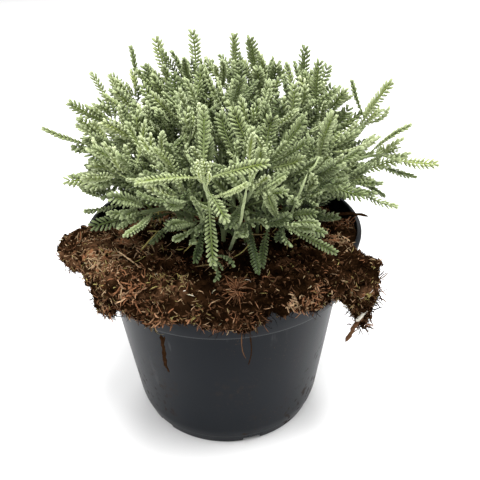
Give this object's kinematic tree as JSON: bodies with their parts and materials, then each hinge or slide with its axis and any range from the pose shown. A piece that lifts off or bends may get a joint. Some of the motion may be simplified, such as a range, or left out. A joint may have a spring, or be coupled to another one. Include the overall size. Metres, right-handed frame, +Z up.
{
  "type": "potted santolina",
  "caption": "Silver-grey santolina bush with comb-shaped leaves, growing in a round tapered nursery pot with peat and moss spilling over its rim.",
  "frame": {"origin": "centre of the flat pad under the pot, on the surface that the pot stands on", "axes": "+Z up along the pot's axis; -Y towards the viewer of the picture; +X to that viewer's right"},
  "size_m": [0.218, 0.1911, 0.2358],
  "materials": {
    "slate_plastic": "dark slate moulded plastic, satin",
    "peat_and_moss": "fibrous brown peat and moss, matt",
    "felted_leaf": "silver-green felted leaves and stems, matt"
  },
  "bodies": {
    "root": {"leafy_stem_01": "felted_leaf", "leafy_stem_02": "felted_leaf", "leafy_stem_03": "felted_leaf", "leafy_stem_04": "felted_leaf", "leafy_stem_05": "felted_leaf", "leafy_stem_06": "felted_leaf", "leafy_stem_07": "felted_leaf", "leafy_stem_08": "felted_leaf", "leafy_stem_09": "felted_leaf", "leafy_stem_10": "felted_leaf", "leafy_stem_11": "felted_leaf", "leafy_stem_12": "felted_leaf", "leafy_stem_13": "felted_leaf", "leafy_stem_14": "felted_leaf", "leafy_stem_15": "felted_leaf", "leafy_stem_16": "felted_leaf", "leafy_stem_17": "felted_leaf", "leafy_stem_18": "felted_leaf", "leafy_stem_19": "felted_leaf", "leafy_stem_20": "felted_leaf", "leafy_stem_21": "felted_leaf", "leafy_stem_22": "felted_leaf", "leafy_stem_23": "felted_leaf", "leafy_stem_24": "felted_leaf", "leafy_stem_25": "felted_leaf", "leafy_stem_26": "felted_leaf", "leafy_stem_27": "felted_leaf", "leafy_stem_28": "felted_leaf", "leafy_stem_29": "felted_leaf", "leafy_stem_30": "felted_leaf", "leafy_stem_31": "felted_leaf", "leafy_stem_32": "felted_leaf", "leafy_stem_33": "felted_leaf", "leafy_stem_34": "felted_leaf", "leafy_stem_35": "felted_leaf", "leafy_stem_36": "felted_leaf", "leafy_stem_37": "felted_leaf", "leafy_stem_38": "felted_leaf", "leafy_stem_39": "felted_leaf", "pot": "slate_plastic", "substrate": "peat_and_moss"}
  },
  "joints": []
}
